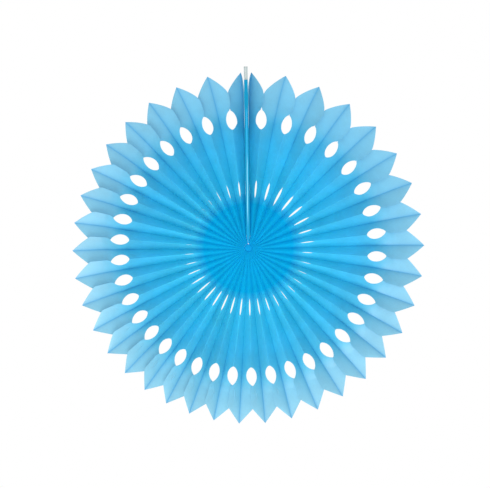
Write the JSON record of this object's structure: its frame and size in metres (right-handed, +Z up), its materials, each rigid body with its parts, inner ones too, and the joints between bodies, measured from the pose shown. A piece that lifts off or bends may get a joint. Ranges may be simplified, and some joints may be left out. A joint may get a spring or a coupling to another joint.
{
  "type": "paper fan",
  "caption": "Hanging pleated paper disc with die-cut petal rim, oval holes and inner slits; the strip's ends are glued to stiff cards that meet at a seam and carry a hanging hole.",
  "frame": {"origin": "middle of the hanging hole through the end cards, above the hub", "axes": "+Z up as it hangs, front of the disc to -Y, +X to the right seen from the front"},
  "size_m": [0.4, 0.0198, 0.4048],
  "materials": {
    "blue_paper": "thin uncoated sky-blue paper",
    "grey_board": "unprinted pale grey board",
    "adhesive_strip": "double-sided adhesive strip",
    "blue_thread": "twisted thread"
  },
  "bodies": {
    "root": {"pleated_paper": "blue_paper", "end_card_left": "grey_board", "end_card_right": "grey_board", "edge_cover": "blue_paper", "seam_strip": "adhesive_strip", "centre_thread": "blue_thread"}
  },
  "joints": []
}
